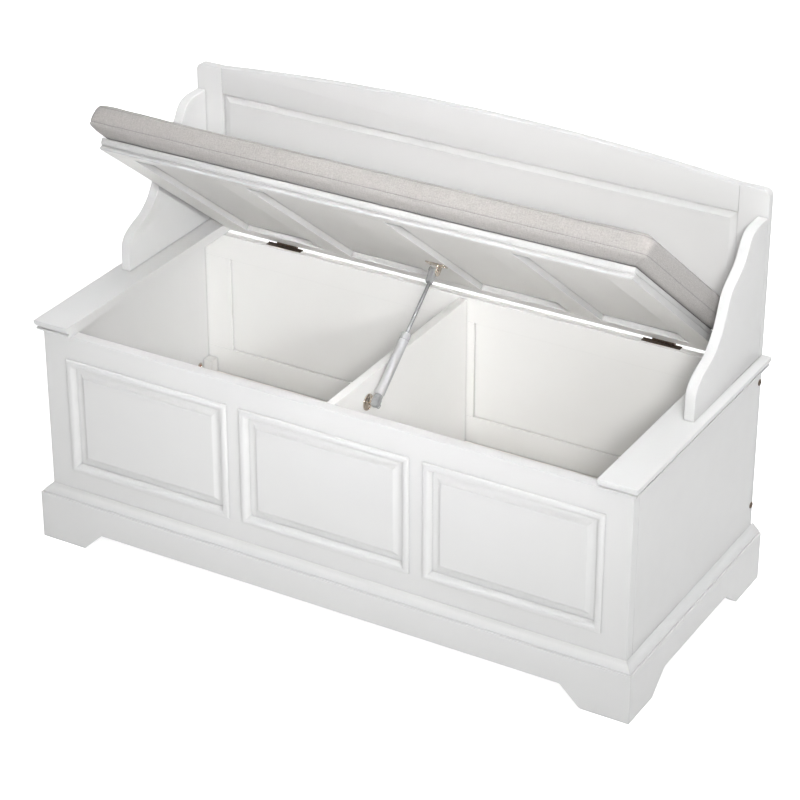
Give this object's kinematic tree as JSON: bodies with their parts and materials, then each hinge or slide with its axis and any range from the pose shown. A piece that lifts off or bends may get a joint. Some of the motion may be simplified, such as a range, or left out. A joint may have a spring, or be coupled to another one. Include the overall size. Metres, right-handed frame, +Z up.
{
  "type": "storage bench",
  "caption": "White painted storage bench with a hinged cushioned lid held open by a gas strut, a divided box, panelled front, arched backrest and curved side wings.",
  "frame": {"origin": "on the floor, at the centre of the bench's footprint", "axes": "+X to the right along the bench seen from its front, +Y to the back, +Z up"},
  "size_m": [1.1, 0.4894, 0.7419],
  "materials": {
    "white_paint": "satin white lacquer on wood",
    "inside_paint": "satin warm white lacquer on wood",
    "linen_weave": "greige linen-look weave over foam",
    "bronzed_steel": "dark bronze",
    "nickel_plate": "warm nickel plate",
    "silver_lacquer": "silver lacquer",
    "polished_rod": "polished steel",
    "grey_nylon": "grey moulded nylon"
  },
  "bodies": {
    "case": {"back_bottom_rail": "inside_paint", "back_panel_left": "inside_paint", "back_panel_right": "inside_paint", "back_stile_centre": "inside_paint", "back_stile_left": "inside_paint", "back_stile_right": "inside_paint", "back_top_rail": "inside_paint", "backrest_bottom_rail": "white_paint", "backrest_panel": "white_paint", "backrest_top_rail": "white_paint", "cap_left": "white_paint", "cap_right": "white_paint", "case_bolt_left_lower": "bronzed_steel", "case_bolt_left_upper": "bronzed_steel", "case_bolt_right_lower": "bronzed_steel", "case_bolt_right_upper": "bronzed_steel", "corner_block_left": "inside_paint", "corner_block_right": "inside_paint", "divider": "inside_paint", "floor_cleat_front": "inside_paint", "floor_cleat_rear": "inside_paint", "floor_left": "inside_paint", "floor_right": "inside_paint", "front_frame": "white_paint", "front_panel_centre": "white_paint", "front_panel_left": "white_paint", "front_panel_right": "white_paint", "hinge_box_leaf_left": "bronzed_steel", "hinge_box_leaf_right": "bronzed_steel", "hinge_pin_left": "bronzed_steel", "hinge_pin_right": "bronzed_steel", "panel_moulding_centre": "white_paint", "panel_moulding_left": "white_paint", "panel_moulding_right": "white_paint", "plinth_front": "white_paint", "plinth_left": "white_paint", "plinth_right": "white_paint", "post_left": "white_paint", "post_right": "white_paint", "side_panel_left": "white_paint", "side_panel_right": "white_paint", "strut_lower_bracket": "nickel_plate", "wing_left": "white_paint", "wing_right": "white_paint"},
    "lid": {"cushion": "linen_weave", "hinge_lid_leaf_left": "bronzed_steel", "hinge_lid_leaf_right": "bronzed_steel", "lid_batten_centre": "white_paint", "lid_batten_left": "white_paint", "lid_batten_right": "white_paint", "lid_end_rail_left": "white_paint", "lid_end_rail_right": "white_paint", "lid_front_rail": "white_paint", "lid_panel": "white_paint", "lid_rear_rail": "white_paint", "strut_upper_bracket": "nickel_plate"},
    "strut_cylinder": {"strut_cylinder": "silver_lacquer", "strut_lower_socket": "grey_nylon"},
    "strut_rod": {"strut_rod": "polished_rod", "strut_upper_socket": "grey_nylon"}
  },
  "joints": [
    {"name": "lid_hinge", "type": "hinge", "parent": "case", "child": "lid", "pos_m": [0, 0.24025, 0.39015], "axis": [1, 0, 0], "range_deg": [0, 38.4]},
    {"name": "strut_swing", "type": "hinge", "parent": "case", "child": "strut_cylinder", "pos_m": [0.021, -0.10575, 0.34515], "axis": [1, 0, 0], "range_deg": [-26.97, 0]},
    {"name": "strut_slide", "type": "slide", "parent": "strut_cylinder", "child": "strut_rod", "axis": [0, 0.7769, 0.6296], "range_m": [-0.08483, 0]}
  ],
  "couplings": [
    {"joint": "strut_swing", "follows": "lid_hinge", "ratio": -0.70244},
    {"joint": "strut_slide", "follows": "lid_hinge", "m_per_rad": -0.12658}
  ]
}
